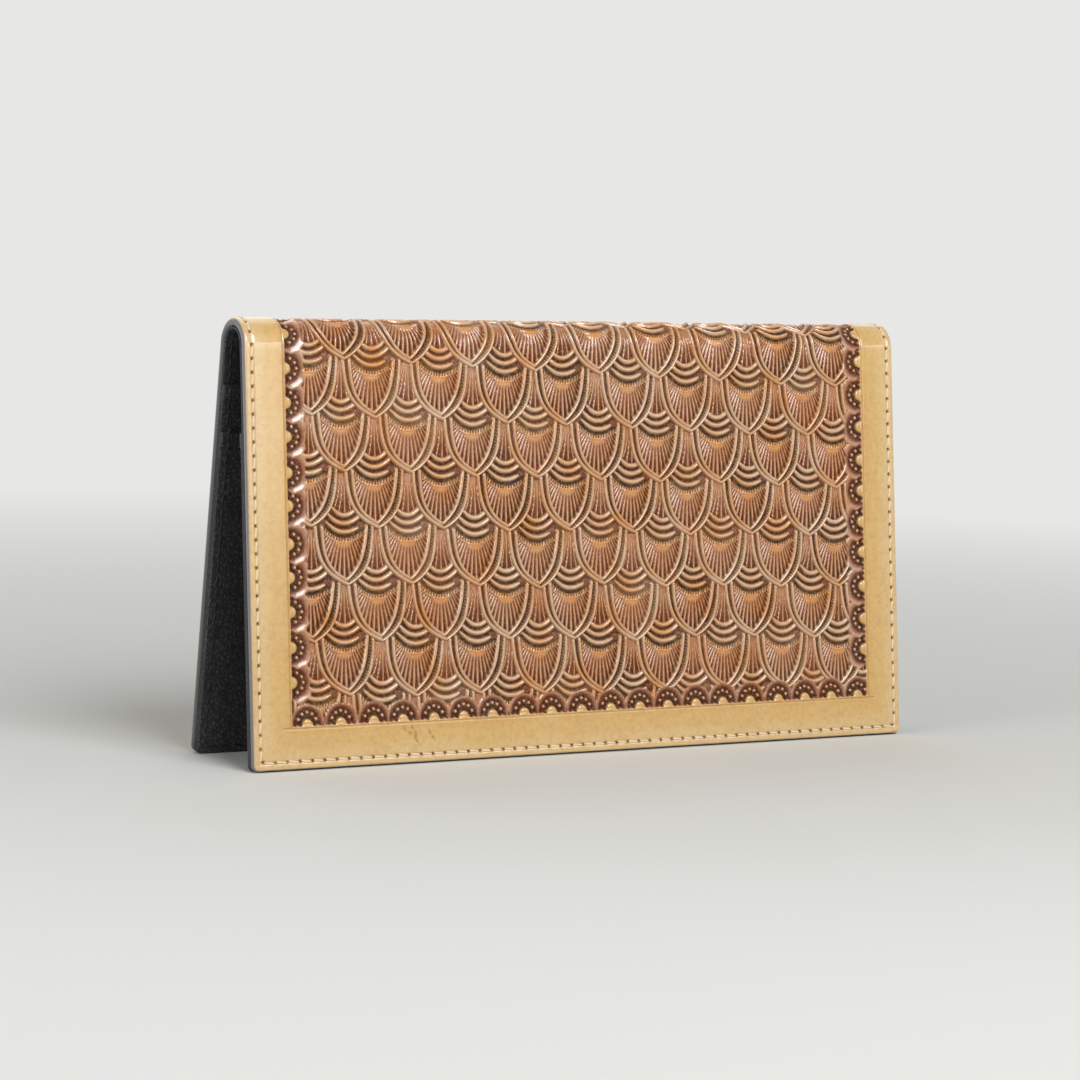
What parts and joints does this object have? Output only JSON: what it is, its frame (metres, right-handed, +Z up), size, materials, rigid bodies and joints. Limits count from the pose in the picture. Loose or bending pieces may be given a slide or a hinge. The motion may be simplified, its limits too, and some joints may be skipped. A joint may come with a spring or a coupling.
{
  "type": "tooled leather wallet",
  "caption": "Long bifold leather wallet with a tooled scale pattern, stitched edges and black slip pockets inside, standing half open on its free edges.",
  "frame": {"origin": "on the ground under the middle of the fold, at the centre of the standing wallet's base", "axes": "+X along the fold, +Y from the front cover to the rear cover, +Z up"},
  "size_m": [0.165, 0.0306, 0.0931],
  "materials": {
    "tooled_leather": "antiqued and glazed vegetable-tanned leather",
    "black_leather": "pebbled, semi-matt",
    "cream_thread": "waxed twisted thread",
    "black_thread": "waxed twisted thread"
  },
  "bodies": {
    "rear": {"cover_rear": "tooled_leather", "lining_rear": "black_leather", "rear_upper_pocket": "black_leather", "rear_lower_pocket": "black_leather", "cover_thread_rear": "cream_thread", "lining_thread_rear": "black_thread"},
    "fold": {"cover_fold": "tooled_leather", "lining_fold": "black_leather", "cover_thread_fold_left": "cream_thread", "cover_thread_fold_right": "cream_thread", "lining_thread_fold_left": "black_thread", "lining_thread_fold_right": "black_thread"},
    "front": {"cover_front": "tooled_leather", "lining_front": "black_leather", "front_pocket": "black_leather", "cover_thread_front": "cream_thread", "lining_thread_front": "black_thread"}
  },
  "joints": [
    {"name": "fold_rear", "type": "hinge", "parent": "rear", "child": "fold", "pos_m": [0, 0.00459, 0.09069], "axis": [-1, 0, 0], "range_deg": [-7, 83.8]},
    {"name": "fold_front", "type": "hinge", "parent": "fold", "child": "front", "pos_m": [0, -0.00459, 0.09069], "axis": [-1, 0, 0], "range_deg": [-7, 83.8]}
  ],
  "couplings": [
    {"joint": "fold_front", "follows": "fold_rear", "ratio": 1}
  ]
}
